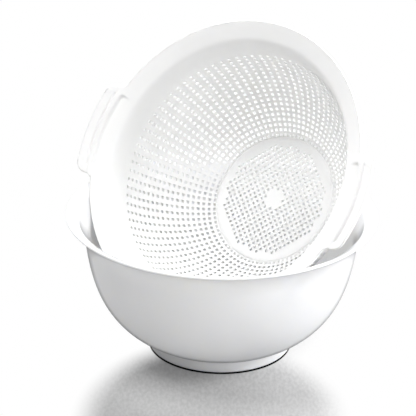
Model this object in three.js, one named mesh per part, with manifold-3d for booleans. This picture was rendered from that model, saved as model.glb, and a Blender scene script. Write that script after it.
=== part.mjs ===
// A plastic colander leaning in its matching bowl. Millimetres, +Z up, ground at z = 0.
// The bowl stands on the origin; the colander is drawn upright on its own axis and then seated.
import * as THREE from "three";
import { mergeVertices } from "three/addons/utils/BufferGeometryUtils.js";
import Module from "manifold-3d";

const wasm = await Module();
wasm.setup();

// Bowl
const BOWL_RADIUS = 123.3;         // outer edge of the lip
const BOWL_HEIGHT = 114.4;         // ground to the top of the lip
const BOWL_NECK_RADIUS = 107.8;    // outside of the wall where the lip starts to flare
const BOWL_WALL = 2.0;
const LIP_HEIGHT = 25.7;           // neck to the top of the lip
const LIP_EDGE = 2.4;              // thickness of the lip at its edge
const LIP_ROUND = 1.3;             // rounding of the lip's edge
const BOWL_FOOT_SLOPE = 24;        // slopes of the outside line, degrees from level
const BOWL_NECK_SLOPE = 81.8;
const LIP_SLOPE = 25;
const FOOT_RADIUS = 57.0;
const FOOT_HEIGHT = 9.8;
const FOOT_WALL = 3.4;
const FOOT_STEP = 0.5;             // step from the foot ring out to the wall
const BOWL_SEGMENTS = 60;

// Colander, on its own axis with the inside of its base at height 0
const BASE_RADIUS = 53.6;          // where the flat base turns up into the wall
const WALL_TOP_RADIUS = 101.4;     // inside of the wall where the flange starts
const WALL_HEIGHT = 72.0;
const RIM_RADIUS = 121.4;
const RIM_HEIGHT = 91.1;
const SHELL = 1.9;                 // thickness of the moulding
const RIM_EDGE = 2.4;
const RIM_ROUND = 0.8;             // rounding of the rim's edge
const WALL_FOOT_SLOPE = 25.2;      // slopes of the inside line, degrees from level
const WALL_TOP_SLOPE = 85.4;
const RIM_SLOPE = 8;

// Perforations: square holes, a polar grid in the wall and a square lattice in the base
const HOLE = 3.8;
const WALL_COLUMNS = 48;
const WALL_ROWS = 6;
const WALL_ROWS_FROM = 0.03;       // share of the wall's length below the first row
const WALL_ROWS_TO = 0.93;         // share of the wall's length at the top of the last row
const BASE_PITCH = 12.0;
const BASE_HOLES_RADIUS = 46.6;
const BASE_DISC_RADIUS = 7.3;      // plain disc at the middle of the base

// Handles: two tabs opposite each other, each with a thumb trough behind a ridge
const HANDLE_REACH = 12.2;         // outer edge beyond the rim
const HANDLE_RISE = 2.2;           // outer edge above the rim
const HANDLE_ROOT_ANGLE = 18.5;    // half angles about the axis, degrees
const HANDLE_TIP_ANGLE = 16.2;
const TROUGH_ANGLE = 15.0;
const TROUGH_DEPTH = 3.4;          // trough floor below the rim
const TROUGH_INSET = 2.2;          // outer corner of the trough floor inside the rim's edge
const TROUGH_END_ANGLE = 1.4;      // angle taken by the wall at each end of the trough
const RIDGE_WIDTH = 3.6;
const GROOVE_DEPTH = 1.0;          // dip between the ridge and the outer lip

// How the colander sits in the bowl
const LEAN = 53.6;                 // tip of its axis from upright, about the handles, degrees
const HEADING = -36.5;             // turn of the handle line from +X, degrees
const SEAT_BACK = 71.6;            // centre of its base behind the bowl's axis
const SEAT_GAP = 0.3;              // clearance left between the two pieces where they meet

const RAD = Math.PI / 180;
const HANDLE_RADIUS = RIM_RADIUS + HANDLE_REACH;
const TROUGH_RADIUS = RIM_RADIUS - TROUGH_INSET;
const SEAT_X = -Math.sin(HEADING * RAD) * SEAT_BACK;
const SEAT_Y = Math.cos(HEADING * RAD) * SEAT_BACK;
const v2 = (x, y) => new THREE.Vector2(x, y);

// Points of a cubic from a to b that leaves a and reaches b along the given directions.
function cubic(a, aDirection, aReach, b, bDirection, bReach) {
  const from = a.clone().add(v2(Math.cos(aDirection), Math.sin(aDirection)).multiplyScalar(aReach));
  const to = b.clone().sub(v2(Math.cos(bDirection), Math.sin(bDirection)).multiplyScalar(bReach));
  return new THREE.CubicBezierCurve(a, from, to, b);
}

// The points of an open line moved sideways, to the right of its direction of travel.
function offsetLine(line, distance) {
  return line.map((point, i) => {
    const before = line[Math.max(i - 1, 0)];
    const after = line[Math.min(i + 1, line.length - 1)];
    const along = after.clone().sub(before).normalize();
    return v2(point.x + along.y * distance, point.y - along.x * distance);
  });
}

// A closed solid from a geometry: seams welded, empty triangles dropped, faces turned outwards.
function solidOf(geometry) {
  geometry.deleteAttribute("normal");
  geometry.deleteAttribute("uv");
  const welded = mergeVertices(geometry, 1e-4);
  const at = welded.attributes.position;
  const index = welded.index.array;
  const faces = [];
  let volume = 0;
  const [a, b, c] = [new THREE.Vector3(), new THREE.Vector3(), new THREE.Vector3()];
  for (let i = 0; i < index.length; i += 3) {
    const [p, q, r] = [index[i], index[i + 1], index[i + 2]];
    if (p === q || q === r || r === p) continue;
    faces.push(p, q, r);
    a.fromBufferAttribute(at, p);
    b.fromBufferAttribute(at, q);
    c.fromBufferAttribute(at, r);
    volume += a.dot(b.cross(c));
  }
  if (volume < 0) faces.reverse();
  return new wasm.Manifold(new wasm.Mesh({
    numProp: 3,
    vertProperties: new Float32Array(at.array),
    triVerts: new Uint32Array(faces),
  }));
}

// A profile of (radius, height) points, from axis to axis, turned once about Z.
function turned(profile, segments) {
  return solidOf(new THREE.LatheGeometry(profile, segments).rotateX(Math.PI / 2));
}

// A closed outline of (radius, height) points swept about Z; each end angle may depend on the radius.
function swept(outline, startAngle, endAngle, steps) {
  const geometry = new THREE.ExtrudeGeometry(new THREE.Shape(outline), {
    depth: 1, steps, bevelEnabled: false,
  });
  const at = geometry.attributes.position;
  for (let i = 0; i < at.count; i++) {
    const [radius, height, share] = [at.getX(i), at.getY(i), at.getZ(i)];
    const angle = THREE.MathUtils.lerp(startAngle(radius), endAngle(radius), share) * RAD;
    at.setXYZ(i, radius * Math.cos(angle), radius * Math.sin(angle), height);
  }
  return solidOf(geometry);
}

function meshOf(name, solid, material) {
  const { vertProperties, triVerts } = solid.getMesh();
  const geometry = new THREE.BufferGeometry();
  geometry.setAttribute("position", new THREE.BufferAttribute(vertProperties, 3));
  geometry.setIndex(new THREE.BufferAttribute(triVerts, 1));
  geometry.computeVertexNormals();
  const mesh = new THREE.Mesh(geometry, material);
  mesh.name = name;
  return mesh;
}

function buildBowl() {
  const neck = v2(BOWL_NECK_RADIUS, BOWL_HEIGHT - LIP_HEIGHT);
  const foot = v2(FOOT_RADIUS + FOOT_STEP, FOOT_HEIGHT);
  const span = foot.distanceTo(neck);
  const neckSlope = BOWL_NECK_SLOPE * RAD;
  const wall = cubic(foot, BOWL_FOOT_SLOPE * RAD, 0.418 * span, neck, neckSlope, 0.365 * span);
  const lipEdge = v2(BOWL_RADIUS - LIP_ROUND, BOWL_HEIGHT - LIP_EDGE);
  const flare = BOWL_RADIUS - BOWL_NECK_RADIUS;
  const lip = cubic(neck, neckSlope, 0.43 * LIP_HEIGHT, lipEdge, LIP_SLOPE * RAD, 0.52 * flare);
  const outside = [...wall.getSpacedPoints(9), ...lip.getSpacedPoints(5).slice(1)];
  const inside = offsetLine(outside, -BOWL_WALL);
  const crest = inside.pop();
  const floor = inside[0].y;
  const profile = [
    v2(0, FOOT_HEIGHT * 0.6),
    v2(FOOT_RADIUS * 0.6, FOOT_HEIGHT * 0.64),
    v2(FOOT_RADIUS - FOOT_WALL, FOOT_HEIGHT * 0.8),
    v2(FOOT_RADIUS - FOOT_WALL, 0),
    v2(FOOT_RADIUS, 0),
    ...outside,
    v2(BOWL_RADIUS, BOWL_HEIGHT - LIP_EDGE * 0.6),
    v2(BOWL_RADIUS, BOWL_HEIGHT - LIP_EDGE * 0.3),
    v2(crest.x + 0.3 * LIP_ROUND, BOWL_HEIGHT),
    ...inside.reverse(),
    v2(FOOT_RADIUS * 0.6, floor - FOOT_HEIGHT * 0.34),
    v2(0, floor - FOOT_HEIGHT * 0.4),
  ];
  return turned(profile, BOWL_SEGMENTS);
}

// Inside line of the colander from the edge of its base to the edge of its rim.
function colanderLines() {
  const foot = v2(BASE_RADIUS, 0);
  const top = v2(WALL_TOP_RADIUS, WALL_HEIGHT);
  const rim = v2(RIM_RADIUS - RIM_ROUND, RIM_HEIGHT);
  const span = foot.distanceTo(top);
  const flangeWidth = RIM_RADIUS - WALL_TOP_RADIUS;
  const flangeHeight = RIM_HEIGHT - WALL_HEIGHT;
  const topSlope = WALL_TOP_SLOPE * RAD;
  const wall = cubic(foot, WALL_FOOT_SLOPE * RAD, 0.317 * span, top, topSlope, 0.332 * span);
  const flange = cubic(top, topSlope, 0.45 * flangeHeight, rim, RIM_SLOPE * RAD, 0.74 * flangeWidth);
  return { wall, flange };
}

function buildHandle(flangeLine) {
  const floorHeight = RIM_HEIGHT - TROUGH_DEPTH;
  const start = flangeLine.findLast((point) => point.y < floorHeight);
  const ridge = v2(TROUGH_RADIUS + 0.35 * TROUGH_DEPTH, RIM_HEIGHT - 0.2);
  const step = (HANDLE_RADIUS - ridge.x - RIDGE_WIDTH) / 4;
  const top = [
    start,
    v2(TROUGH_RADIUS, floorHeight + 0.5),
    ridge,
    v2(ridge.x + RIDGE_WIDTH, RIM_HEIGHT + 0.2),
    v2(ridge.x + RIDGE_WIDTH + step, RIM_HEIGHT - GROOVE_DEPTH),
    v2(ridge.x + RIDGE_WIDTH + 3 * step, RIM_HEIGHT + 0.2 * HANDLE_RISE),
    v2(HANDLE_RADIUS, RIM_HEIGHT + HANDLE_RISE),
  ];
  const under = offsetLine(top, SHELL);
  under[0] = v2(start.x + 0.6 * SHELL, start.y - SHELL);
  const taper = (radius) => THREE.MathUtils.mapLinear(
    THREE.MathUtils.clamp(radius, RIM_RADIUS, HANDLE_RADIUS),
    RIM_RADIUS, HANDLE_RADIUS, HANDLE_ROOT_ANGLE, HANDLE_TIP_ANGLE,
  );
  const edge = (radius) => (radius > ridge.x - 0.1 ? taper(radius) : TROUGH_ANGLE + TROUGH_END_ANGLE);
  const plate = swept([...top, ...under.reverse()], (r) => -edge(r), edge, 8);

  const clear = RIM_HEIGHT + TROUGH_DEPTH;
  const back = start.x - 2 * SHELL;
  const room = swept(
    [v2(back, start.y + 0.4 * SHELL), start, top[1], v2(ridge.x, clear), v2(back, clear)],
    () => -TROUGH_ANGLE, () => TROUGH_ANGLE, 8,
  );
  const above = flangeLine.filter((point) => point.x > start.x && point.x < ridge.x);
  const endOutline = [start, ...above, ridge, v2(TROUGH_RADIUS + 0.6, floorHeight - 0.4), under.at(-1)];
  const ends = [-1, 1].map((side) => swept(
    endOutline,
    () => side * (TROUGH_ANGLE + 0.5 * TROUGH_END_ANGLE) - 0.5 * TROUGH_END_ANGLE,
    () => side * (TROUGH_ANGLE + 0.5 * TROUGH_END_ANGLE) + 0.5 * TROUGH_END_ANGLE, 1,
  ));
  return { room, solids: [plate, ...ends] };
}

function buildColander() {
  const { wall, flange } = colanderLines();
  const rowEdges = [];
  for (let row = 0; row <= WALL_ROWS; row++) {
    const share = THREE.MathUtils.lerp(WALL_ROWS_FROM, WALL_ROWS_TO, row / WALL_ROWS);
    rowEdges.push(wall.getPointAt(share));
  }
  const flangeLine = flange.getSpacedPoints(7);
  const inside = [v2(BASE_RADIUS, 0), ...rowEdges, ...flangeLine];
  const outside = offsetLine(inside, SHELL);
  outside[0] = v2(BASE_RADIUS + 0.25 * SHELL, -SHELL);
  outside[outside.length - 1] = v2(RIM_RADIUS - 1.75 * RIM_ROUND, RIM_HEIGHT - RIM_EDGE);
  const rim = [
    v2(RIM_RADIUS, RIM_HEIGHT - 0.75 * RIM_EDGE),
    v2(RIM_RADIUS, RIM_HEIGHT - 0.3 * RIM_EDGE),
  ];
  let body = perforatedShell(inside, outside, rim);
  const { room, solids } = buildHandle(flangeLine);
  for (const side of [0, 180]) {
    body = body.subtract(room.rotate([0, 0, side]));
    for (const solid of solids) body = body.add(solid.rotate([0, 0, side]));
  }
  return body.subtract(wasm.Manifold.union(baseHoles()));
}

// The colander's closed shell with a square hole in each cell of the wall's rows.
function perforatedShell(inside, outside, rim) {
  const corners = [];
  const quad = (a, b, c, d) => corners.push(a, b, c, a, c, d);
  const at = ({ x, y }, column) => {
    const angle = (column % WALL_COLUMNS) / WALL_COLUMNS * 2 * Math.PI;
    return new THREE.Vector3(x * Math.cos(angle), x * Math.sin(angle), y);
  };
  const cell = (low, high, column) => [
    at(low, column), at(low, column + 1), at(high, column + 1), at(high, column),
  ];
  const hasHoles = (band) => band >= 1 && band <= WALL_ROWS;

  for (let column = 0; column < WALL_COLUMNS; column++) {
    for (let band = 0; band + 1 < inside.length; band++) {
      const outer = cell(outside[band], outside[band + 1], column);
      const inner = cell(inside[band], inside[band + 1], column);
      if (!hasHoles(band)) {
        quad(...outer);
        quad(...inner.reverse());
        continue;
      }
      const outerHole = squareIn(outer);
      const innerHole = squareIn(inner);
      for (let i = 0; i < 4; i++) {
        const j = (i + 1) % 4;
        quad(outer[i], outer[j], outerHole[j], outerHole[i]);
        quad(inner[j], inner[i], innerHole[i], innerHole[j]);
        quad(outerHole[i], outerHole[j], innerHole[j], innerHole[i]);
      }
    }
    const edge = [outside.at(-1), ...rim, inside.at(-1)];
    for (let i = 0; i + 1 < edge.length; i++) quad(...cell(edge[i], edge[i + 1], column));
  }

  const [top, bottom] = [inside[0], outside[0]];
  for (let column = 0; column < WALL_COLUMNS; column++) {
    corners.push(at(top, column), at(top, column + 1), at(v2(0, top.y), 0));
    corners.push(at(bottom, column + 1), at(bottom, column), at(v2(0, bottom.y), 0));
  }
  return solidOf(new THREE.BufferGeometry().setFromPoints(corners));
}

// The corners of a square hole at the middle of a four-cornered face.
function squareIn([a, b, c, d]) {
  const middle = a.clone().add(b).add(c).add(d).divideScalar(4);
  const along = b.clone().sub(a).setLength(HOLE / 2);
  const up = c.clone().add(d).sub(a).sub(b).setLength(HOLE / 2);
  return [[-1, -1], [1, -1], [1, 1], [-1, 1]].map(([i, j]) => middle.clone()
    .addScaledVector(along, i).addScaledVector(up, j));
}

// A square lattice at 45 degrees to the handle line, clear of the disc at its middle.
function baseHoles() {
  const holes = [];
  const half = Math.ceil(BASE_HOLES_RADIUS / BASE_PITCH);
  for (let i = -half; i < half; i++) {
    for (let j = -half; j < half; j++) {
      const middle = v2((i + 0.5) * BASE_PITCH, (j + 0.5) * BASE_PITCH);
      const reach = middle.length();
      if (reach + HOLE / 2 > BASE_HOLES_RADIUS || reach - HOLE < BASE_DISC_RADIUS) continue;
      holes.push(solidOf(new THREE.BoxGeometry(HOLE, HOLE, 4 * SHELL)
        .translate(middle.x, middle.y, -SHELL / 2).rotateZ(45 * RAD)));
    }
  }
  return holes;
}

// The height of the seat at which the tipped colander, let down into the bowl, is a gap short of it.
function seatHeight(bowl, colander) {
  const tipped = colander.rotate([LEAN, 0, HEADING]);
  let low = 0;
  let high = 2 * (BOWL_HEIGHT + RIM_RADIUS);
  while (high - low > 0.001) {
    const middle = (low + high) / 2;
    const gap = bowl.minGap(tipped.translate([SEAT_X, SEAT_Y, middle]), 2 * SEAT_GAP);
    if (gap > SEAT_GAP) high = middle;
    else low = middle;
  }
  return high;
}

const bowlPlastic = new THREE.MeshStandardMaterial({ color: 0xe6e7ee, roughness: 0.38, metalness: 0 });
const colanderPlastic = new THREE.MeshStandardMaterial({ color: 0xf4f4f2, roughness: 0.42, metalness: 0 });

const bowl = buildBowl();
const colander = buildColander();

const set = new THREE.Group();
set.name = "colander_and_bowl";
set.add(meshOf("bowl", bowl, bowlPlastic));

const seat = new THREE.Group();
seat.position.set(SEAT_X, SEAT_Y, seatHeight(bowl, colander));
seat.rotation.set(LEAN * RAD, 0, HEADING * RAD, "ZXY");
seat.add(meshOf("colander", colander, colanderPlastic));
set.add(seat);

export default set;
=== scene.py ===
"""A white plastic colander leaning in its matching bowl, on a pale floor.

The scene is in metres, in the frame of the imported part. The pieces are drawn in millimetres.
"""
import math

import bmesh
import bpy
from mathutils import Matrix, Vector


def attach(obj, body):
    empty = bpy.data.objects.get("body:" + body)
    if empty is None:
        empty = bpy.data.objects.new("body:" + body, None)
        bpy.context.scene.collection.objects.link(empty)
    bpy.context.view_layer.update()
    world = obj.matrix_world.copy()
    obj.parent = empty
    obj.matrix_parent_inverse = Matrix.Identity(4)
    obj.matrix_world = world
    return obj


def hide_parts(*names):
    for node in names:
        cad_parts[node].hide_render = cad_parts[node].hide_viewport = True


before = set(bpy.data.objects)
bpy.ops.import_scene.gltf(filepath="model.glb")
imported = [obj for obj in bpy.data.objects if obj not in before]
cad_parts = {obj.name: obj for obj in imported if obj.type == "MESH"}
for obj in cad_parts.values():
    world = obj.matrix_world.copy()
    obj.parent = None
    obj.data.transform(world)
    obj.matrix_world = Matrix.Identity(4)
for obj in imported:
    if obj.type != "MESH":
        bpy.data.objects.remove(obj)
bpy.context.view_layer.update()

MM = 0.001
NEAR = 0.01  # lengths closer than this count as the same

# Colander, on its own axis with the inside of its base at height 0: (radius, height) points
BASE_EDGE = (52.0, 0.0)
STEP = [(52.35, -0.2), (52.6, -0.8), (53.35, -0.85)]
WALL_FOOT = (53.6, 0.0)
WALL_FOOT_SLOPE = 25.2
WALL_FOOT_PULL = 0.317
WALL_TOP = (101.4, 72.0)
WALL_TOP_SLOPE = 85.4
WALL_TOP_PULL = 0.332
WALL_PLAIN = 3.5
RIM = (120.6, 91.1)
RIM_RADIUS = 121.4
SHELL = 1.9
RIM_ROUNDING = 0.75
UNDERSIDE_INSET = 0.6
FREE_EDGE_HEIGHT = 80
COLANDER_CREASE = 35

# Holes in the wall and the base
COLUMNS = 88
LINES = 4 * COLUMNS
ROWS = 19
ROW_START = 1.138
ROW_PITCH = 4.506
HOLE_HIGH = 2.35
HOLE_WIDE = 2.4
LATTICE = 4.0
LATTICE_HOLE = 2.3
LATTICE_REACH = 46.0
LATTICE_TURN = 45
LATTICE_MARGIN = 1.9
FILL_MARGIN = 1.6
DISC_REACH = 7.4

# Band and flange: the inside line goes up from the wall, bends, runs out as a cone and rolls
# level at the rim
FLANGE = [
    WALL_TOP, (102.1, 74.6), (103.0, 77.5), (104.1, 80.4), (105.2, 82.8), (106.2, 84.4),
    (107.3, 85.45), (108.7, 86.15), (111.0, 87.13), (113.0, 88.0), (115.0, 88.86),
    (116.6, 89.56), (117.8, 90.05), (118.5, 90.36), (119.0, 90.56), (119.4, 90.72),
    (119.8, 90.86), (120.2, 90.98), RIM,
]
FLANGE_BEND = 6
FLANGE_LEAST_HEIGHT = 60

# Handles: half angles in degrees, radii and heights in millimetres
HANDLE_ROOT = 19.5
HANDLE_SIDE = (18.4, 16.2)
HANDLE_EDGE = 133.6
HANDLE_CORNER = 6.0
ROOT_FILLET = 2.5
TROUGH_START = (110.0, 87.6)
TROUGH_RISE = 0.068
TROUGH_END = 15.9
TROUGH_SIDE = 120.7
TROUGH_CORNER = 3.5
TROUGH_WALL = 1.7
GROOVE_END = (15.6, 16.8)
# The plate's points out from the rim at the middle of a handle; the groove follows the ridge
PLATE = [
    (121.6, 91.5), (122.6, 91.75), (123.7, 91.8), (124.5, 91.6), (124.95, 90.6),
    (125.4, 90.1), (125.85, 90.5), (126.4, 91.6), (127.4, 91.9), (129.3, 92.2),
    (131.3, 92.7), (132.6, 93.0), (133.2, 93.1), (133.5, 93.17), (133.6, 93.2),
]
RIDGE = PLATE[3]
HANDLE_LINES = [
    0, 1.5, 3.0, 4.5, 6.0, 7.5, 9.0, 10.4, 11.6, 12.6, 13.4, 14.0, 14.5, 14.9, 15.3, 15.7,
    16.1, 16.6, 17.2, 18.0, 18.8, 19.5, 22.5,
]

# Seat of the colander in the bowl: degrees and millimetres
LEAN = 53.6
HEADING = -36.5
SEAT = (42.589, 57.556, 101.354)

# Bowl: (radius, height) points
LIP_RADIUS = 123.3
BOWL_HEIGHT = 114.4
BOWL_WALL = 2.0
BOWL_TURNS = 192
BOWL_CREASE = 40
FOOT = 57.0
FOOT_HEIGHT = 9.8
FOOT_WALL = 3.4
BOWL_START = (FOOT + 0.5, FOOT_HEIGHT)
BOWL_START_SLOPE = 24
BOWL_START_PULL = 0.418
NECK = (107.8, 88.7)
NECK_SLOPE = 81.8
NECK_PULL = 0.365
NECK_LIP_PULL = 0.43
LIP_EDGE = (LIP_RADIUS - 1.3, BOWL_HEIGHT - 2.4)
LIP_SLOPE = 25
LIP_PULL = 0.52
WALL_PARTS = 30
LIP_PARTS = 14
UNDERSIDE = [
    (0, 0.6 * FOOT_HEIGHT), (0.35 * FOOT, 0.61 * FOOT_HEIGHT), (0.6 * FOOT, 0.64 * FOOT_HEIGHT),
    (FOOT - FOOT_WALL - 1.2, 0.75 * FOOT_HEIGHT), (FOOT - FOOT_WALL - 0.2, 0.68 * FOOT_HEIGHT),
]
FOOT_RING = [
    (FOOT - FOOT_WALL, 0.5 * FOOT_HEIGHT), (FOOT - FOOT_WALL, 0.7),
    (FOOT - FOOT_WALL + 0.2, 0.2), (FOOT - FOOT_WALL + 0.7, 0), (FOOT - 1.9, 0),
    (FOOT - 1.7, 0.8), (FOOT - 0.3, 1.0), (FOOT, 1.35), (FOOT, 0.5 * FOOT_HEIGHT),
    (FOOT, FOOT_HEIGHT - 1.2), (FOOT + 0.12, FOOT_HEIGHT - 0.5),
]
LIP_ROLL = [
    (LIP_RADIUS - 0.35, BOWL_HEIGHT - 2.05), (LIP_RADIUS, BOWL_HEIGHT - 1.4),
    (LIP_RADIUS, BOWL_HEIGHT - 0.9), (LIP_RADIUS - 0.3, BOWL_HEIGHT - 0.35),
    (LIP_RADIUS - 0.9, BOWL_HEIGHT - 0.03), (LIP_RADIUS - 1.5, BOWL_HEIGHT),
    (LIP_RADIUS - 2.3, BOWL_HEIGHT - 0.3),
]
INNER_LIP = [
    (108.9, 100.2), (110.0, 102.6), (111.0, 104.8), (111.9, 106.8), (112.6, 108.4),
    (113.2, 109.5), (114.1, 110.5), (115.6, 111.4), (118.0, 112.7), (120.0, 113.7),
]
# Inside floor: shares of the foot's radius, and of its height below the wall's lowest point
BOWL_FLOOR = [(0.75, 0.26), (0.4, 0.38), (0, 0.4)]

# Plastic
COLANDER_FINISH = {
    "Tone": (0.945, 0.945, 0.94, 1), "Cloud Tone": (0.92, 0.92, 0.915, 1),
    "Cloud Scale": 28.0, "Grain Scale": 1100.0, "Rough Low": 0.38, "Rough High": 0.50,
}
COLANDER_PEEL = 0.12
COLANDER_PASSING = 0.3
COLANDER_EDGE_SHADE = 0.3
BOWL_FINISH = {
    "Tone": (0.91, 0.915, 0.93, 1), "Cloud Tone": (0.89, 0.895, 0.91, 1),
    "Cloud Scale": 22.0, "Grain Scale": 900.0, "Rough Low": 0.40, "Rough High": 0.50,
}
BOWL_PEEL = 0.15
BOWL_PASSING = 0.9
BOWL_EDGE_SHADE = 0.95
CLOUD_SPAN = (0.35, 0.7)
GLOSS_SPAN = (0.3, 0.7)
PEEL_SCALE = 260.0
PEEL_HEIGHT = 0.0001
GRAIN_SHARE = 0.35
# Painted shade: the plastics' colour is drawn towards this dark grey where they are seen at a
# glancing angle, to draw their outlines
PAINTED_EDGE_SHADE = (0.12, 0.12, 0.13, 1)
EDGE_SHADE_START = 0.78
PLASTIC_IOR = 1.49
PASSING_TINT = (1.0, 0.97, 0.9)
PASSING_REACH = 0.003

# Floor, in metres: its tone is graded across it, and it is white to the camera outside two
# patches. In the patches the floor is grey and keeps the lamps' shadow, and the grey adds painted
# shadow to it
FLOOR_RADIUS = 6.0
FLOOR_DROP = 0.0002
# The floor's grey in the patches, kept dark so that it deepens the shadow there: partly the
# floor's grain, partly painted shadow
FLOOR_TONE = (0.48, 0.56)
FLOOR_TONE_SPAN = (0.35, 0.65)
FLOOR_BOUNCE = 0.42
FLOOR_GRAIN = (430, 170, 430)
# Painted shade: the floor's grey is graded darker towards the left and the front, to shape the
# shadow
FLOOR_SHADE_SLOPE = (2.4, 3.5, 0)
FLOOR_SHADE_LEVEL = 1.33
FLOOR_SHADE_CAP = 1.33
# Painted shadow: a thin black ring on the floor round the bowl's foot, a dark contact line
FOOT_SHADOW = (0, -0.0004, 0)
FOOT_SHADOW_EDGE = (0.0566, 0.0576)
SHADOW_MIDDLE = (-0.006, -0.136, 0)
SHADOW_REACH = (0.110, 0.148, 1)
SHADOW_FADE = (0.72, 1.0)
BACK_SHADOW_MIDDLE = (0.02, 0.29, 0)
BACK_SHADOW_REACH = (0.10, 0.37, 1)
# Painted shade: the back patch's floor is this much darker in its middle
BACK_SHADE = 0.9

# Light: name, place and size in metres, and watts
SURROUND = 0.23
LAMP_AIM = (0, 0, 0.1)
LAMPS = [
    ("right_softbox", (1.597, 0.000, 0.681), 0.8, 19.0),
    ("low_right_softbox", (1.464, -0.845, 0.278), 0.4, 5.5),
    ("front_softbox", (0.000, -1.597, 0.681), 0.8, 3.6),
    ("front_right_softbox", (0.850, -0.850, 1.302), 0.8, 5.6),
    ("top_left_softbox", (-0.561, -0.150, 1.697), 0.8, 16.5),
    ("top_back_softbox", (0.000, 0.581, 1.697), 0.8, 7.5),
    ("back_softbox", (0.000, 1.597, 0.681), 0.8, 8.5),
    ("back_left_softbox", (-1.129, 1.129, 0.681), 0.8, 9.0),
    ("back_right_softbox", (1.129, 1.129, 0.681), 0.8, 7.0),
]

# Camera
CAMERA_PLACE = (-0.01097, -1.8851, 0.9440)
CAMERA_AHEAD = (0, 0.91587, -0.40147)
CAMERA_ROLL = 0.794
PHOTO_WIDTH = 416
FOCAL_LENGTH = 2600  # in the photograph's pixels
SENSOR_WIDTH = 36


def cubic(a, a_slope, a_reach, b, b_slope, b_reach, steps=400):
    """Points of a curve from a to b that leaves a and reaches b at the given slopes."""
    out, into = math.radians(a_slope), math.radians(b_slope)
    c = (a[0] + a_reach * math.cos(out), a[1] + a_reach * math.sin(out))
    d = (b[0] - b_reach * math.cos(into), b[1] - b_reach * math.sin(into))
    points = []
    for i in range(steps + 1):
        t = i / steps
        w = ((1 - t) ** 3, 3 * t * (1 - t) ** 2, 3 * t * t * (1 - t), t ** 3)
        points.append(tuple(w[0] * a[k] + w[1] * c[k] + w[2] * d[k] + w[3] * b[k]
                            for k in (0, 1)))
    return points


def length_of(points):
    return sum(math.dist(a, b) for a, b in zip(points, points[1:]))


def along(points, distances):
    """The points of a line at the given distances from its start."""
    found = []
    gone = 0.0
    i = 0
    for want in distances:
        while i + 2 < len(points) and gone + math.dist(points[i], points[i + 1]) < want:
            gone += math.dist(points[i], points[i + 1])
            i += 1
        a, b = points[i], points[i + 1]
        share = (want - gone) / math.dist(a, b)
        found.append(tuple(a[k] + share * (b[k] - a[k]) for k in (0, 1)))
    return found


def evenly(points, count):
    whole = length_of(points)
    return along(points, [whole * i / count for i in range(count + 1)])


def beside(points, distance):
    """A line moved sideways, to the left of its direction of travel."""
    moved = []
    for i, point in enumerate(points):
        a, b = points[max(i - 1, 0)], points[min(i + 1, len(points) - 1)]
        size = math.dist(a, b)
        moved.append((point[0] - (b[1] - a[1]) / size * distance,
                      point[1] + (b[0] - a[0]) / size * distance))
    return moved


def share_between(low, high, value):
    return min(max((value - low) / (high - low), 0.0), 1.0)


def smooth_step(low, high, value):
    t = share_between(low, high, value)
    return t * t * (3 - 2 * t)


def deselect():
    if bpy.context.object and bpy.context.object.mode != "OBJECT":
        bpy.ops.object.mode_set(mode="OBJECT")
    bpy.ops.object.select_all(action="DESELECT")


def pick(elements):
    """Selects just these vertices, edges or faces in edit mode."""
    bpy.ops.mesh.select_all(action="DESELECT")
    for element in elements:
        element.select_set(True)


def polar(point):
    """Radius, angle in degrees and height of a point, in millimetres."""
    x, y, z = point / MM
    return math.hypot(x, y), math.degrees(math.atan2(y, x)), z


def put(vertex, radius, angle, height):
    turn = math.radians(angle)
    vertex.co = Vector((radius * math.cos(turn), radius * math.sin(turn), height)) * MM


def spun(name, profile, steps):
    """A line of (radius, height) points, drawn point by point and spun once about Z.

    The piece is left in edit mode.
    """
    deselect()
    bpy.ops.mesh.primitive_plane_add(size=MM)
    piece = bpy.context.object
    piece.name = name
    piece.data.name = name
    bpy.ops.object.mode_set(mode="EDIT")
    bpy.ops.mesh.select_mode(type="VERT")
    bpy.ops.mesh.select_all(action="SELECT")
    bpy.ops.mesh.merge(type="CENTER")
    bpy.ops.transform.translate(value=(profile[0][0] * MM, 0, profile[0][1] * MM))
    for (r0, h0), (r1, h1) in zip(profile, profile[1:]):
        move = ((r1 - r0) * MM, 0, (h1 - h0) * MM)
        bpy.ops.mesh.extrude_vertices_move(TRANSFORM_OT_translate={"value": move})
    bpy.ops.mesh.select_all(action="SELECT")
    bpy.ops.mesh.spin(steps=steps, angle=math.tau, center=(0, 0, 0), axis=(0, 0, 1))
    bpy.ops.mesh.select_all(action="SELECT")
    bpy.ops.mesh.remove_doubles(threshold=NEAR * MM)
    return piece


def wall_rows():
    """Points of the wall's inside line: the lower and upper edge of each row of holes."""
    span = math.dist(WALL_FOOT, WALL_TOP)
    line = cubic(WALL_FOOT, WALL_FOOT_SLOPE, WALL_FOOT_PULL * span,
                 WALL_TOP, WALL_TOP_SLOPE, WALL_TOP_PULL * span)
    edges = []
    for row in range(ROWS):
        middle = ROW_START + row * ROW_PITCH
        edges += [middle - HOLE_HIGH / 2, middle + HOLE_HIGH / 2]
    return along(line, edges + [length_of(line) - WALL_PLAIN])


def row_finder(rows):
    """A function that says which row of a spun line a radius and height are on."""
    known = {}

    def row_of(radius, height):
        key = (round(radius, 1), round(height, 1))
        if key not in known:
            known[key] = min(range(len(rows)),
                             key=lambda j: math.dist(rows[j], (radius, height)))
        return known[key]

    return row_of


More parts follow.
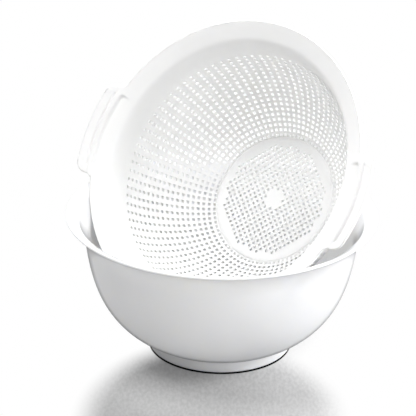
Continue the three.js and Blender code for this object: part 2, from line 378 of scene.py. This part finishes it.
def open_wall(colander, row_of, first):
    """Brings the lines beside each column to the holes' width and takes the hole faces out."""
    mesh = bmesh.from_edit_mesh(colander.data)
    step = 360 / LINES
    last = first + 2 * ROWS - 1
    for vertex in mesh.verts:
        radius, angle, height = polar(vertex.co)
        line = round(angle / step)
        if line % 2 and first <= row_of(radius, height) <= last:
            side = 1 if line % 4 == 1 else -1
            half = math.degrees(HOLE_WIDE / 2 / radius)
            put(vertex, radius, (line - side) * step + side * half, height)
    holes = []
    for face in mesh.faces:
        found = [row_of(*polar(v.co)[::2]) for v in face.verts]
        line = math.floor(polar(face.calc_center_median())[1] / step)
        in_column = line % 4 in (0, 3)
        in_row = min(found) >= first and max(found) <= last and (min(found) - first) % 2 == 0
        if in_column and in_row:
            holes.append(face)
    pick(holes)
    bpy.ops.mesh.delete(type="FACE")


def lay_base(colander):
    """A flat lattice of square holes round a plain disc, filled out to the foot of the wall."""
    cells = 4 * math.ceil(LATTICE_REACH / LATTICE) + 3
    bpy.ops.mesh.primitive_grid_add(x_subdivisions=cells, y_subdivisions=cells,
                                    size=cells * LATTICE / 2 * MM)
    mesh = bmesh.from_edit_mesh(colander.data)
    gone = []
    for face in mesh.faces:
        if not face.select:
            continue
        middle = face.calc_center_median() / MM
        hole = all(round(abs(middle[k]) / LATTICE * 2) % 2 for k in (0, 1))
        reach = math.hypot(middle.x, middle.y)
        outside = max(polar(v.co)[0] for v in face.verts) > BASE_EDGE[0] - LATTICE_MARGIN
        if outside or (hole and DISC_REACH < reach < LATTICE_REACH):
            gone.append(face)
    lattice = [v for v in mesh.verts if v.select]
    widen = LATTICE_HOLE / 2 - LATTICE / 4
    for vertex in lattice:
        for k in (0, 1):
            low = math.floor(vertex.co[k] / MM / LATTICE * 2) % 2 == 0
            vertex.co[k] += (-widen if low else widen) * MM
    pick(lattice)
    bpy.ops.transform.rotate(value=math.radians(LATTICE_TURN), orient_axis="Z",
                             center_override=(0, 0, 0))
    pick(gone)
    bpy.ops.mesh.delete(type="FACE")
    mesh = bmesh.from_edit_mesh(colander.data)
    edges = []
    for edge in mesh.edges:
        ends = [polar(v.co) for v in edge.verts]
        level = all(abs(height) < NEAR for radius, angle, height in ends)
        nearest = min(radius for radius, angle, height in ends)
        if edge.is_boundary and level and nearest > LATTICE_REACH + FILL_MARGIN:
            edges.append(edge)
    bpy.ops.mesh.select_mode(type="EDGE")
    pick(edges)
    bpy.ops.mesh.fill(use_beauty=True)
    bpy.ops.mesh.select_mode(type="VERT")


def handle_line(line):
    """The angle of the handle nearest a line of the rim, and the line's count from there."""
    count = (line + LINES // 4) % (LINES // 2) - LINES // 4
    return (line - count) * 360 / LINES, count


def handle_half_angle(radius):
    """Half a handle's angle: filleted at the rim, straight sides, rounded outer corners."""
    share = share_between(RIM_RADIUS, HANDLE_EDGE, radius)
    half = math.radians(HANDLE_SIDE[0] + share * (HANDLE_SIDE[1] - HANDLE_SIDE[0])) * radius
    into_corner = min(max(radius - HANDLE_EDGE + HANDLE_CORNER, 0), HANDLE_CORNER)
    into_root = min(max(RIM_RADIUS + ROOT_FILLET - radius, 0), ROOT_FILLET)
    half -= HANDLE_CORNER - math.sqrt(HANDLE_CORNER ** 2 - into_corner ** 2)
    half += ROOT_FILLET - math.sqrt(ROOT_FILLET ** 2 - into_root ** 2)
    return math.degrees(half / radius)


def trough_depth(radius, turn, height):
    """How far the flange is sunk for the thumb.

    The trough has a flat floor, with walls at its ends and below the ridge.
    """
    if radius < TROUGH_START[0]:
        return 0
    floor = TROUGH_START[1] + TROUGH_RISE * (radius - TROUGH_START[0])
    end = math.radians(TROUGH_END - abs(turn)) * radius
    side = TROUGH_SIDE - radius
    inside = min(end, side)
    if max(end, side) < TROUGH_CORNER:
        inside = TROUGH_CORNER - math.hypot(TROUGH_CORNER - end, TROUGH_CORNER - side)
    return max(height - floor, 0) * smooth_step(0, TROUGH_WALL, inside)


def plate_height(radius, height, turn):
    """Height of a handle's plate, where the groove runs out towards the plate's ends."""
    if radius <= RIDGE[0]:
        return height
    share = share_between(RIDGE[0], PLATE[-1][0], radius)
    plain = RIDGE[1] + share * (PLATE[-1][1] - RIDGE[1])
    dip = 1 - smooth_step(*GROOVE_END, abs(turn))
    return plain + dip * (height - plain)


def form_handles(colander, rows, row_of, flange):
    """Sinks a trough into the flange at each handle and draws a plate out from the rim."""
    mesh = bmesh.from_edit_mesh(colander.data)
    step = 360 / LINES
    rim = len(rows) - 1
    bend = flange + FLANGE_BEND
    reach = len(HANDLE_LINES) - 1
    roots = set()
    for vertex in mesh.verts:
        radius, angle, height = polar(vertex.co)
        row = row_of(radius, height)
        if row < flange or height < FLANGE_LEAST_HEIGHT:
            continue
        middle, count = handle_line(round(angle / step))
        if abs(count) > reach:
            continue
        wanted = math.copysign(HANDLE_LINES[abs(count)], count)
        share = share_between(flange, bend, row)
        turn = count * step + share * (wanted - count * step)
        put(vertex, radius, middle + turn, height - trough_depth(radius, turn, height))
        if row == rim and abs(count) <= HANDLE_LINES.index(HANDLE_ROOT):
            roots.add(vertex)
    bpy.ops.mesh.select_mode(type="EDGE")
    pick([e for e in mesh.edges if e.is_boundary and all(v in roots for v in e.verts)])
    before = HANDLE_ROOT
    for radius, height in PLATE:
        bpy.ops.mesh.extrude_region_move()
        mesh = bmesh.from_edit_mesh(colander.data)
        after = handle_half_angle(radius)
        for vertex in mesh.verts:
            if not vertex.select:
                continue
            angle = polar(vertex.co)[1]
            middle = 180 * round(angle / 180)
            turn = (angle - middle + 180) % 360 - 180
            full = turn * HANDLE_ROOT / before
            put(vertex, radius, middle + full * after / HANDLE_ROOT,
                plate_height(radius, height, full))
        before = after
    bpy.ops.mesh.select_mode(type="VERT")


def make_colander():
    rows = [BASE_EDGE] + STEP + wall_rows() + FLANGE
    first = 1 + len(STEP)
    flange = first + 2 * ROWS + 1
    row_of = row_finder(rows)
    colander = spun("colander_shell", rows, LINES)
    open_wall(colander, row_of, first)
    lay_base(colander)
    form_handles(colander, rows, row_of, flange)
    bpy.ops.mesh.select_all(action="SELECT")
    bpy.ops.mesh.normals_make_consistent(inside=False)
    mesh = bmesh.from_edit_mesh(colander.data)
    middle = min(mesh.faces, key=lambda face: face.calc_center_median().xy.length)
    if middle.normal.z < 0:
        bpy.ops.mesh.flip_normals()
    bpy.ops.object.mode_set(mode="OBJECT")
    return thicken(colander)


def thicken(colander):
    """Gives the sheet its wall outside, levels the base's underside and rounds the free edge."""
    mesh = bmesh.new()
    mesh.from_mesh(colander.data)
    free = [tuple(sorted(v.index for v in e.verts)) for e in mesh.edges
            if e.is_boundary and min(v.co.z for v in e.verts) > FREE_EDGE_HEIGHT * MM]
    count = len(mesh.verts)
    mesh.free()
    bpy.ops.object.modifier_add(type="SOLIDIFY")
    wall = colander.modifiers[-1]
    wall.thickness = SHELL * MM
    wall.offset = -1
    bpy.ops.object.modifier_apply(modifier=wall.name)

    bpy.ops.object.mode_set(mode="EDIT")
    mesh = bmesh.from_edit_mesh(colander.data)
    mesh.verts.ensure_lookup_table()
    for i in range(count):
        radius, angle, height = polar(mesh.verts[i].co)
        if height < NEAR and radius < STEP[-1][0] + NEAR:
            inset = UNDERSIDE_INSET * share_between(BASE_EDGE[0] - 1, BASE_EDGE[0], radius)
            put(mesh.verts[i + count], max(radius - inset, 0), angle, -SHELL)
    edges = set(free) | {(a + count, b + count) for a, b in free}
    bpy.ops.mesh.select_mode(type="EDGE")
    pick([e for e in mesh.edges if tuple(sorted(v.index for v in e.verts)) in edges])
    bpy.ops.mesh.bevel(offset=RIM_ROUNDING * MM, segments=3, affect="EDGES")
    bpy.ops.mesh.select_mode(type="VERT")
    deselect()
    return colander


def seat(colander):
    """Leans the colander in the bowl."""
    deselect()
    colander.select_set(True)
    bpy.context.view_layer.objects.active = colander
    colander.rotation_euler = (math.radians(LEAN), 0, math.radians(HEADING))
    colander.location = Vector(SEAT) * MM
    bpy.ops.object.transform_apply(location=True, rotation=True, scale=True)
    bpy.ops.object.shade_smooth_by_angle(angle=math.radians(COLANDER_CREASE))


def make_bowl():
    span = math.dist(BOWL_START, NECK)
    wall = cubic(BOWL_START, BOWL_START_SLOPE, BOWL_START_PULL * span,
                 NECK, NECK_SLOPE, NECK_PULL * span)
    lip = cubic(NECK, NECK_SLOPE, NECK_LIP_PULL * (BOWL_HEIGHT - NECK[1]),
                LIP_EDGE, LIP_SLOPE, LIP_PULL * (LIP_RADIUS - NECK[0]))
    outside = evenly(wall, WALL_PARTS) + evenly(lip, LIP_PARTS)[1:]
    inside = [point for point in beside(outside, BOWL_WALL) if point[1] < INNER_LIP[0][1] - 1]
    lowest = inside[0][1]
    floor = [(out * FOOT, lowest - down * FOOT_HEIGHT) for out, down in BOWL_FLOOR]
    profile = UNDERSIDE + FOOT_RING + outside + LIP_ROLL + INNER_LIP[::-1] + inside[::-1] + floor
    bowl = spun("bowl_shell", profile, BOWL_TURNS)
    bpy.ops.mesh.dissolve_degenerate(threshold=0.001 * MM)
    bpy.ops.mesh.select_all(action="SELECT")
    bpy.ops.mesh.normals_make_consistent(inside=False)
    deselect()
    bowl.select_set(True)
    bpy.ops.object.shade_smooth_by_angle(angle=math.radians(BOWL_CREASE))
    return bowl


def node(tree, kind, place, inputs=None, **values):
    """A new node with its settings, and then the values of its sockets."""
    made = tree.nodes.new(kind)
    made.location = place
    for name, value in values.items():
        setattr(made, name, value)
    for socket, value in (inputs or {}).items():
        made.inputs[socket].default_value = value
    return made


def moulded_skin():
    """Shared finish of the mouldings: clouded tone, gloss that varies, and fine orange peel."""
    tree = bpy.data.node_groups.new("moulded_skin", "ShaderNodeTree")
    face = tree.interface
    for name, kind, value in (("Tone", "NodeSocketColor", (0.8, 0.8, 0.8, 1)),
                              ("Cloud Tone", "NodeSocketColor", (0.75, 0.75, 0.75, 1)),
                              ("Cloud Scale", "NodeSocketFloat", 30.0),
                              ("Grain Scale", "NodeSocketFloat", 900.0),
                              ("Rough Low", "NodeSocketFloat", 0.3),
                              ("Rough High", "NodeSocketFloat", 0.45)):
        face.new_socket(name, in_out="INPUT", socket_type=kind).default_value = value
    face.new_socket("Color", in_out="OUTPUT", socket_type="NodeSocketColor")
    face.new_socket("Roughness", in_out="OUTPUT", socket_type="NodeSocketFloat")
    face.new_socket("Height", in_out="OUTPUT", socket_type="NodeSocketFloat")
    enter = node(tree, "NodeGroupInput", (-900, 0))
    leave = node(tree, "NodeGroupOutput", (500, 0))
    place = node(tree, "ShaderNodeTexCoord", (-900, -300))
    cloud = node(tree, "ShaderNodeTexNoise", (-600, 200), {"Detail": 3.0})
    grain = node(tree, "ShaderNodeTexNoise", (-600, -100), {"Detail": 2.0})
    peel = node(tree, "ShaderNodeTexNoise", (-600, -400), {"Scale": PEEL_SCALE})
    soft = node(tree, "ShaderNodeMapRange", (-350, 200),
                {"From Min": CLOUD_SPAN[0], "From Max": CLOUD_SPAN[1]})
    tone = node(tree, "ShaderNodeMix", (0, 250), data_type="RGBA")
    rough = node(tree, "ShaderNodeMapRange", (0, 0),
                 {"From Min": GLOSS_SPAN[0], "From Max": GLOSS_SPAN[1]})
    both = node(tree, "ShaderNodeMath", (0, -300), {1: GRAIN_SHARE}, operation="MULTIPLY_ADD")
    link = tree.links.new
    for noise in (cloud, grain, peel):
        link(place.outputs["Object"], noise.inputs["Vector"])
    link(enter.outputs["Cloud Scale"], cloud.inputs["Scale"])
    link(enter.outputs["Grain Scale"], grain.inputs["Scale"])
    link(cloud.outputs["Fac"], soft.inputs["Value"])
    link(soft.outputs["Result"], tone.inputs["Factor"])
    link(enter.outputs["Tone"], tone.inputs["A"])
    link(enter.outputs["Cloud Tone"], tone.inputs["B"])
    link(cloud.outputs["Fac"], rough.inputs["Value"])
    link(enter.outputs["Rough Low"], rough.inputs["To Min"])
    link(enter.outputs["Rough High"], rough.inputs["To Max"])
    link(grain.outputs["Fac"], both.inputs[0])
    link(peel.outputs["Fac"], both.inputs[2])
    link(tone.outputs["Result"], leave.inputs["Color"])
    link(rough.outputs["Result"], leave.inputs["Roughness"])
    link(both.outputs["Value"], leave.inputs["Height"])
    return tree


def plastic(name, skin, finish, peel, passing, edge_shade):
    """A moulding's plastic: the shared finish, on a surface that light passes into.

    It goes darker where it is seen at a glancing angle: painted shade along its outlines.
    """
    material = bpy.data.materials.new(name)
    material.use_nodes = True
    tree = material.node_tree
    shader = tree.nodes["Principled BSDF"]
    surface = node(tree, "ShaderNodeGroup", (-700, 200), finish, node_tree=skin)
    raised = node(tree, "ShaderNodeBump", (-250, -100),
                  {"Strength": peel, "Distance": PEEL_HEIGHT})
    # Painted shade: the base colour goes dark grey at glancing angles, along the outlines
    facing = node(tree, "ShaderNodeLayerWeight", (-950, 500))
    turned_away = node(tree, "ShaderNodeMapRange", (-700, 500),
                       {"From Min": EDGE_SHADE_START, "To Max": edge_shade})
    shade = node(tree, "ShaderNodeMix", (-250, 300), {"B": PAINTED_EDGE_SHADE}, data_type="RGBA")
    link = tree.links.new
    link(facing.outputs["Facing"], turned_away.inputs["Value"])
    link(turned_away.outputs["Result"], shade.inputs["Factor"])
    link(surface.outputs["Color"], shade.inputs["A"])
    link(shade.outputs["Result"], shader.inputs["Base Color"])
    link(surface.outputs["Roughness"], shader.inputs["Roughness"])
    link(surface.outputs["Height"], raised.inputs["Height"])
    link(raised.outputs["Normal"], shader.inputs["Normal"])
    shader.inputs["IOR"].default_value = PLASTIC_IOR
    shader.inputs["Subsurface Weight"].default_value = passing
    shader.inputs["Subsurface Radius"].default_value = PASSING_TINT
    shader.inputs["Subsurface Scale"].default_value = PASSING_REACH
    return material


def dress(piece, material, body, cad_node):
    piece.data.materials.clear()
    piece.data.materials.append(material)
    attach(piece, body)
    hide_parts(cad_node)


def outside_patch(tree, place, middle, reach):
    """Goes from 0 in an oval patch of the floor to 1 outside it: the grey patch, where the floor
    keeps the lamps' shadow and adds painted shadow.
    """
    spread = node(tree, "ShaderNodeMapping", (-1100, -250),
                  {"Location": middle, "Scale": reach}, vector_type="TEXTURE")
    away = node(tree, "ShaderNodeVectorMath", (-850, -150), operation="LENGTH")
    fade = node(tree, "ShaderNodeMapRange", (-600, -150),
                {"From Min": SHADOW_FADE[0], "From Max": SHADOW_FADE[1]},
                interpolation_type="SMOOTHSTEP")
    tree.links.new(place.outputs["Object"], spread.inputs["Vector"])
    tree.links.new(spread.outputs["Vector"], away.inputs[0])
    tree.links.new(away.outputs["Value"], fade.inputs["Value"])
    return fade.outputs["Result"]


def outside_foot(tree, place):
    """Goes from 0 under the bowl's foot to 1 just beside it: the mask of a painted contact shadow,
    a black ring on the floor at the foot's edge.
    """
    away = node(tree, "ShaderNodeVectorMath", (-850, -600), {1: FOOT_SHADOW},
                operation="DISTANCE")
    fade = node(tree, "ShaderNodeMapRange", (-600, -600),
                {"From Min": FOOT_SHADOW_EDGE[0], "From Max": FOOT_SHADOW_EDGE[1]},
                interpolation_type="SMOOTHSTEP")
    tree.links.new(place.outputs["Object"], away.inputs[0])
    tree.links.new(away.outputs["Value"], fade.inputs["Value"])
    return fade.outputs["Result"]


def floor_tone(tree, place):
    """Grained grey, graded darker towards the left and the front up to a cap: the grading is
    painted shade.
    """
    grain = node(tree, "ShaderNodeVectorMath", (-950, 250), {1: FLOOR_GRAIN},
                 operation="MULTIPLY")
    speckle = node(tree, "ShaderNodeTexNoise", (-850, 150), {"Scale": 1.0, "Detail": 4.0})
    tone = node(tree, "ShaderNodeMapRange", (-600, 150),
                {"From Min": FLOOR_TONE_SPAN[0], "From Max": FLOOR_TONE_SPAN[1],
                 "To Min": FLOOR_TONE[0], "To Max": FLOOR_TONE[1]})
    slope = node(tree, "ShaderNodeVectorMath", (-950, 500), {1: FLOOR_SHADE_SLOPE},
                 operation="DOT_PRODUCT")
    level = node(tree, "ShaderNodeMath", (-800, 500), {1: FLOOR_SHADE_LEVEL}, operation="ADD")
    capped = node(tree, "ShaderNodeMath", (-700, 600), {1: FLOOR_SHADE_CAP}, operation="MINIMUM")
    graded = node(tree, "ShaderNodeMath", (-600, 450), operation="MULTIPLY")
    link = tree.links.new
    link(place.outputs["Object"], grain.inputs[0])
    link(grain.outputs["Vector"], speckle.inputs["Vector"])
    link(speckle.outputs["Fac"], tone.inputs["Value"])
    link(place.outputs["Object"], slope.inputs[0])
    link(slope.outputs["Value"], level.inputs[0])
    link(level.outputs["Value"], capped.inputs[0])
    link(tone.outputs["Result"], graded.inputs[0])
    link(capped.outputs["Value"], graded.inputs[1])
    return graded.outputs["Value"]


def pale_floor():
    """The floor's material: a matt floor in the patches, plain white to the camera elsewhere. The
    patches' grey is partly painted shadow, and a thin ring at the bowl's foot is painted black as
    a contact shadow.
    """
    material = bpy.data.materials.new("pale_floor")
    material.use_nodes = True
    tree = material.node_tree
    tree.nodes.remove(tree.nodes["Principled BSDF"])
    out = tree.nodes["Material Output"]
    place = node(tree, "ShaderNodeTexCoord", (-1100, 0))
    ray = node(tree, "ShaderNodeLightPath", (-850, -400))
    tone = floor_tone(tree, place)
    front = outside_patch(tree, place, SHADOW_MIDDLE, SHADOW_REACH)
    back = outside_patch(tree, place, BACK_SHADOW_MIDDLE, BACK_SHADOW_REACH)
    foot = outside_foot(tree, place)
    behind = node(tree, "ShaderNodeMapRange", (-450, 600), {"To Min": BACK_SHADE})
    deeper = node(tree, "ShaderNodeMath", (-350, 450), operation="MULTIPLY")
    lit = node(tree, "ShaderNodeMix", (-450, 250), {"A": FLOOR_BOUNCE})
    dark = node(tree, "ShaderNodeMath", (-450, 400), operation="MULTIPLY")
    matt = node(tree, "ShaderNodeBsdfDiffuse", (-350, 150))
    both = node(tree, "ShaderNodeMath", (-450, -150), operation="MULTIPLY")
    clear = node(tree, "ShaderNodeMath", (-350, -350), operation="MULTIPLY")
    open_floor = node(tree, "ShaderNodeMath", (-350, -550), operation="MULTIPLY")
    glow = node(tree, "ShaderNodeEmission", (-350, -50))
    mix = node(tree, "ShaderNodeMixShader", (-100, 50))
    link = tree.links.new
    # Painted shade: the back patch's grey is darkened further in its middle
    link(back, behind.inputs["Value"])
    link(tone, deeper.inputs[0])
    link(behind.outputs["Result"], deeper.inputs[1])
    link(ray.outputs["Is Camera Ray"], lit.inputs["Factor"])
    link(deeper.outputs["Value"], lit.inputs["B"])
    # Painted shadow: the floor goes black under the rim of the bowl's foot, also outside the
    # patches
    link(foot, dark.inputs[0])
    link(lit.outputs["Result"], dark.inputs[1])
    link(dark.outputs["Value"], matt.inputs["Color"])
    link(front, both.inputs[0])
    link(back, both.inputs[1])
    link(both.outputs["Value"], clear.inputs[0])
    link(ray.outputs["Is Camera Ray"], clear.inputs[1])
    link(clear.outputs["Value"], open_floor.inputs[0])
    link(foot, open_floor.inputs[1])
    link(open_floor.outputs["Value"], mix.inputs[0])
    link(matt.outputs["BSDF"], mix.inputs[1])
    link(glow.outputs["Emission"], mix.inputs[2])
    link(mix.outputs["Shader"], out.inputs["Surface"])
    return material


def lay_floor():
    """A pale floor that keeps the object's shadow and goes to plain white round it."""
    deselect()
    bpy.ops.mesh.primitive_circle_add(vertices=96, radius=FLOOR_RADIUS, fill_type="NGON",
                                      location=(0, 0, -FLOOR_DROP))
    floor = bpy.context.object
    floor.name = "floor"
    bpy.ops.object.transform_apply(location=True, rotation=True, scale=True)
    floor.data.materials.append(pale_floor())


def white_surround():
    """A faint even light, with plain white where the camera looks past the object."""
    world = bpy.data.worlds.new("studio")
    bpy.context.scene.world = world
    world.use_nodes = True
    tree = world.node_tree
    light = tree.nodes["Background"]
    light.inputs["Color"].default_value = (1, 1, 1, 1)
    ray = node(tree, "ShaderNodeLightPath", (-600, 200))
    level = node(tree, "ShaderNodeMapRange", (-300, 200), {"To Min": SURROUND})
    tree.links.new(ray.outputs["Is Camera Ray"], level.inputs["Value"])
    tree.links.new(level.outputs["Result"], light.inputs["Strength"])


def lamp(name, place, size, watts):
    """A round lamp that faces the object."""
    deselect()
    bpy.ops.object.light_add(type="AREA", location=place)
    light = bpy.context.object
    light.name = name
    light.data.shape = "DISK"
    light.data.size = size
    light.data.energy = watts
    aim = Vector(LAMP_AIM) - Vector(place)
    light.rotation_euler = aim.to_track_quat("-Z", "Y").to_euler()


def set_camera():
    """The photograph's view: a long lens a little above, turned slightly about its axis."""
    deselect()
    bpy.ops.object.camera_add()
    camera = bpy.context.object
    camera.name = "camera"
    ahead = Vector(CAMERA_AHEAD)
    right, up = Vector((1, 0, 0)), Vector((0, -ahead.z, ahead.y))
    roll = math.radians(CAMERA_ROLL)
    across = math.cos(roll) * right + math.sin(roll) * up
    upright = math.cos(roll) * up - math.sin(roll) * right
    turn = Matrix((across, upright, -ahead)).transposed().to_4x4()
    camera.matrix_world = Matrix.Translation(CAMERA_PLACE) @ turn
    camera.data.sensor_fit = "HORIZONTAL"
    camera.data.sensor_width = SENSOR_WIDTH
    camera.data.lens = SENSOR_WIDTH * FOCAL_LENGTH / PHOTO_WIDTH
    camera.data.clip_end = 50
    bpy.context.scene.camera = camera


set_camera()
skin = moulded_skin()
colander_plastic = plastic("white_moulding", skin, COLANDER_FINISH, COLANDER_PEEL,
                           COLANDER_PASSING, COLANDER_EDGE_SHADE)
bowl_plastic = plastic("cool_white_moulding", skin, BOWL_FINISH, BOWL_PEEL,
                       BOWL_PASSING, BOWL_EDGE_SHADE)

bowl = make_bowl()
dress(bowl, bowl_plastic, "bowl", "bowl")
colander = make_colander()
seat(colander)
dress(colander, colander_plastic, "colander", "colander")

lay_floor()
white_surround()
for name, place, size, watts in LAMPS:
    lamp(name, place, size, watts)

view = bpy.context.scene.view_settings
view.view_transform = "Standard"
